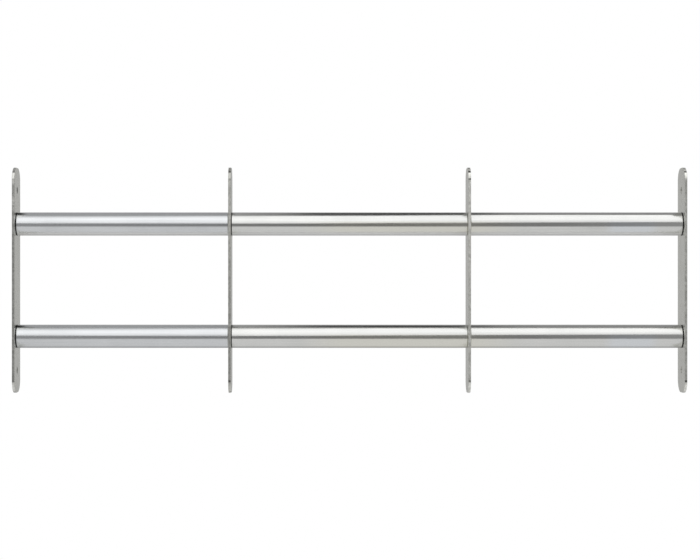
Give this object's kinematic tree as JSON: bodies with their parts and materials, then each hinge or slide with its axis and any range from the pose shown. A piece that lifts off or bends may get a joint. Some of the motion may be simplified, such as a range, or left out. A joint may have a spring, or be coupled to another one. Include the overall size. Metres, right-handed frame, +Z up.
{
  "type": "window security bar",
  "caption": "Telescopic window grille of zinc-plated steel: two round bars through upright flat plates, with end units that slide out sideways to the window's width.",
  "frame": {"origin": "centre of the closed grille: midway between the end plates, midway between the bars, in the middle of the plates' width", "axes": "+X across the window, along the bars; +Y from the room towards the window, along the plates' width; +Z up"},
  "size_m": [0.894, 0.045, 0.3],
  "materials": {
    "plate_zinc": "zinc-plated flat bar, dull satin",
    "tube_zinc": "zinc-plated drawn tube, bright satin",
    "inner_steel": "zinc-plated drawn tube, satin with slide marks",
    "bush_plastic": "moulded, matt black",
    "stop_steel": "turned, zinc-plated"
  },
  "bodies": {
    "left_unit": {"left_end_plate": "plate_zinc", "left_upper_tube": "tube_zinc", "left_lower_tube": "tube_zinc", "left_upper_bush": "bush_plastic", "left_lower_bush": "bush_plastic"},
    "centre_unit": {"left_guide_plate": "plate_zinc", "right_guide_plate": "plate_zinc", "centre_upper_tube": "tube_zinc", "centre_lower_tube": "tube_zinc", "upper_inner_tube": "inner_steel", "lower_inner_tube": "inner_steel", "left_upper_stop": "stop_steel", "left_lower_stop": "stop_steel", "right_upper_stop": "stop_steel", "right_lower_stop": "stop_steel"},
    "right_unit": {"right_end_plate": "plate_zinc", "right_upper_tube": "tube_zinc", "right_lower_tube": "tube_zinc", "right_upper_bush": "bush_plastic", "right_lower_bush": "bush_plastic"}
  },
  "joints": [
    {"name": "left_slide", "type": "slide", "parent": "left_unit", "child": "centre_unit", "axis": [1, 0, 0], "range_m": [0, 0.225]},
    {"name": "right_slide", "type": "slide", "parent": "centre_unit", "child": "right_unit", "axis": [1, 0, 0], "range_m": [0, 0.225]}
  ]
}
